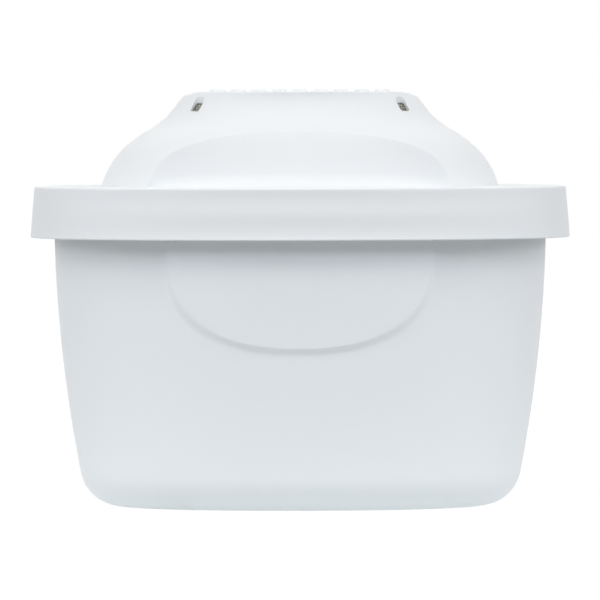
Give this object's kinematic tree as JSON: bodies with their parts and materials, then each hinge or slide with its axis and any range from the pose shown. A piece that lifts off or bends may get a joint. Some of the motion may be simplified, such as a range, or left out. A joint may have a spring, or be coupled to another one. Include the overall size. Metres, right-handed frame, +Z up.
{
  "type": "water pitcher filter cartridge",
  "caption": "Oval tapered filter cup with a flanged, skirted lid, a domed top with finger scoops and a crowned grip plate, mesh screens and a granulate bed.",
  "frame": {"origin": "middle of the base, at the level that the cartridge stands on", "axes": "+X along the long way of the oval, +Z up through the lid, -Y towards the viewer of the picture"},
  "size_m": [0.105, 0.08, 0.0809],
  "materials": {
    "cup_plastic": "satin moulded polypropylene, white",
    "lid_plastic": "satin moulded polypropylene, white",
    "screen_mesh": "fine woven mesh, olive grey",
    "granulate": "resin beads and carbon granules"
  },
  "bodies": {
    "root": {"cup": "cup_plastic", "lid": "lid_plastic", "inlet_screen_front_left": "screen_mesh", "inlet_screen_front_right": "screen_mesh", "inlet_screen_back_left": "screen_mesh", "inlet_screen_back_right": "screen_mesh", "outlet_screen": "screen_mesh", "filter_media": "granulate"}
  },
  "joints": []
}
